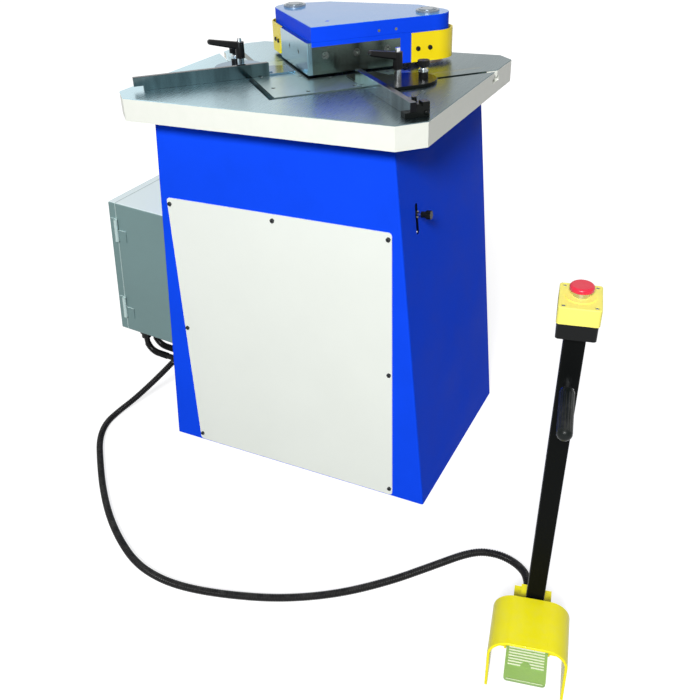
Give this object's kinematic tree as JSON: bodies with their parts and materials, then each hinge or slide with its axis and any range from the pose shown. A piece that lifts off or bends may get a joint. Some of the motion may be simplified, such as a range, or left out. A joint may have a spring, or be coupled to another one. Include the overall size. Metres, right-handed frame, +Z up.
{
  "type": "sheet metal notcher",
  "caption": "Floor-standing hydraulic corner notcher: V-bladed head on columns, slotted table with clamped angle fences, tapered cabinet, control box and foot pedal post.",
  "frame": {"origin": "middle of the cabinet's underside, on the floor", "axes": "+Z up, +X to the operator's right at the cutting corner, +Y away from the operator"},
  "size_m": [1.3139, 0.9888, 1.01],
  "materials": {
    "cabinet_shell": "satin paint",
    "front_panel": "satin paint",
    "panel_screws": "blackened",
    "table_plate": "ground top, painted edge",
    "table_bolts": "blackened",
    "die_insert": "ground",
    "lower_blade_left": "ground",
    "lower_blade_right": "ground",
    "die_screws": "blackened",
    "table_rules": "satin",
    "guide_bushes": "bronze",
    "cylinder_body": "paint",
    "oil_tank": "paint",
    "pump_motor": "cast",
    "pressure_hose": "matte",
    "control_box": "powder coat",
    "box_hinge_leaves": "powder coat",
    "control_gear": "plain",
    "conduit_glands": "moulded",
    "conduit_link": "ribbed",
    "conduit_floor": "ribbed",
    "foot_base": "paint",
    "foot_hood": "paint",
    "pedal_pin": "plain",
    "foot_switch": "moulded",
    "station_post": "gloss paint",
    "handle_stud": "bright",
    "estop_base": "moulded",
    "estop_cover": "moulded",
    "estop_screws": "plain",
    "head_plate": "gloss paint",
    "tool_holder": "gloss paint",
    "upper_blade_left": "ground",
    "upper_blade_right": "ground",
    "head_screws": "blackened",
    "guard_left": "gloss paint",
    "guard_right": "gloss paint",
    "columns": "ground",
    "column_caps": "turned",
    "column_nuts": "plain",
    "yoke": "paint",
    "piston_rod": "ground",
    "fence_plate_right": "ground",
    "fence_bar_right": "ground",
    "fence_studs_right": "bright",
    "bar_stop": "satin",
    "fence_plate_left": "ground",
    "fence_bar_left": "ground",
    "fence_studs_left": "bright",
    "clamp_lever_right": "moulded",
    "clamp_lever_left": "moulded",
    "fence_knob_right": "moulded",
    "fence_knob_left": "moulded",
    "box_door": "powder coat",
    "door_lock": "plain",
    "stroke_slider": "plain",
    "stroke_knob": "moulded",
    "foot_pedal": "paint",
    "handle_grip": "matte",
    "estop_button": "moulded"
  },
  "bodies": {
    "machine": {"cabinet_shell": "cabinet_shell", "front_panel": "front_panel", "panel_screws": "panel_screws", "table_plate": "table_plate", "table_bolts": "table_bolts", "die_insert": "die_insert", "lower_blade_left": "lower_blade_left", "lower_blade_right": "lower_blade_right", "die_screws": "die_screws", "table_rules": "table_rules", "guide_bushes": "guide_bushes", "cylinder_body": "cylinder_body", "oil_tank": "oil_tank", "pump_motor": "pump_motor", "pressure_hose": "pressure_hose", "control_box": "control_box", "box_hinge_leaves": "box_hinge_leaves", "control_gear": "control_gear", "conduit_glands": "conduit_glands", "conduit_link": "conduit_link", "conduit_floor": "conduit_floor", "foot_base": "foot_base", "foot_hood": "foot_hood", "pedal_pin": "pedal_pin", "foot_switch": "foot_switch", "station_post": "station_post", "handle_stud": "handle_stud", "estop_base": "estop_base", "estop_cover": "estop_cover", "estop_screws": "estop_screws"},
    "cutting_head": {"head_plate": "head_plate", "tool_holder": "tool_holder", "upper_blade_left": "upper_blade_left", "upper_blade_right": "upper_blade_right", "head_screws": "head_screws", "guard_left": "guard_left", "guard_right": "guard_right", "columns": "columns", "column_caps": "column_caps", "column_nuts": "column_nuts", "yoke": "yoke", "piston_rod": "piston_rod"},
    "right_fence": {"fence_plate_right": "fence_plate_right", "fence_bar_right": "fence_bar_right", "fence_studs_right": "fence_studs_right", "bar_stop": "bar_stop"},
    "left_fence": {"fence_plate_left": "fence_plate_left", "fence_bar_left": "fence_bar_left", "fence_studs_left": "fence_studs_left"},
    "right_lever": {"clamp_lever_right": "clamp_lever_right"},
    "left_lever": {"clamp_lever_left": "clamp_lever_left"},
    "right_knob": {"fence_knob_right": "fence_knob_right"},
    "left_knob": {"fence_knob_left": "fence_knob_left"},
    "door": {"box_door": "box_door"},
    "lock": {"door_lock": "door_lock"},
    "stroke_stop": {"stroke_slider": "stroke_slider"},
    "stroke_clamp": {"stroke_knob": "stroke_knob"},
    "pedal": {"foot_pedal": "foot_pedal"},
    "grip": {"handle_grip": "handle_grip"},
    "stop_button": {"estop_button": "estop_button"}
  },
  "joints": [
    {"name": "head_stroke", "type": "slide", "parent": "machine", "child": "cutting_head", "axis": [0, 0, 1], "range_m": [-0.008, 0.012]},
    {"name": "right_fence_slide", "type": "slide", "parent": "machine", "child": "right_fence", "axis": [0.7071, 0.7071, 0], "range_m": [-0.07, 0.14]},
    {"name": "right_lever_turn", "type": "hinge", "parent": "right_fence", "child": "right_lever", "pos_m": [0.1888, -0.03215, 0.94], "axis": [0, 0, 1], "range_deg": [-60, 60]},
    {"name": "right_knob_turn", "type": "hinge", "parent": "right_fence", "child": "right_knob", "pos_m": [0.2291, 0.00815, 0.93], "axis": [0, 0, 1], "range_deg": [-180, 180]},
    {"name": "left_fence_slide", "type": "slide", "parent": "machine", "child": "left_fence", "axis": [-0.7071, 0.7071, 0], "range_m": [-0.07, 0.14]},
    {"name": "left_lever_turn", "type": "hinge", "parent": "left_fence", "child": "left_lever", "pos_m": [-0.1888, -0.03215, 0.94], "axis": [0, 0, 1], "range_deg": [-60, 60]},
    {"name": "left_knob_turn", "type": "hinge", "parent": "left_fence", "child": "left_knob", "pos_m": [-0.2291, 0.00815, 0.93], "axis": [0, 0, 1], "range_deg": [-180, 180]},
    {"name": "box_door_hinge", "type": "hinge", "parent": "machine", "child": "door", "pos_m": [-0.45154, -0.248, 0.45549], "axis": [0.0853, 0, 0.9964], "range_deg": [0, 110]},
    {"name": "door_lock_turn", "type": "hinge", "parent": "door", "child": "lock", "pos_m": [-0.47147, 0.027, 0.45719], "axis": [0.9964, 0, -0.0853], "range_deg": [0, 90]},
    {"name": "stroke_slide", "type": "slide", "parent": "machine", "child": "stroke_stop", "axis": [-0.0853, 0, 0.9964], "range_m": [-0.037, 0.017]},
    {"name": "stroke_knob_turn", "type": "hinge", "parent": "stroke_stop", "child": "stroke_clamp", "pos_m": [0.3096, -0.172, 0.68321], "axis": [0.9964, 0, 0.0853], "range_deg": [-180, 180]},
    {"name": "pedal_press", "type": "hinge", "parent": "machine", "child": "pedal", "pos_m": [0.67366, -0.54571, 0.046], "axis": [0.9799, 0.1994, 0], "range_deg": [0, 5], "stiffness_Nm_per_rad": 6, "springref_deg": -5.73},
    {"name": "grip_spin", "type": "hinge", "parent": "machine", "child": "grip", "pos_m": [0.70004, -0.61108, 0.59746], "axis": [-0.1991, 0.9786, 0.0523], "continuous": true},
    {"name": "stop_push", "type": "slide", "parent": "machine", "child": "stop_button", "axis": [-0.0275, 0.0478, -0.9985], "range_m": [0, 0.006], "stiffness_N_per_m": 1500, "springref_m": -0.004}
  ]
}
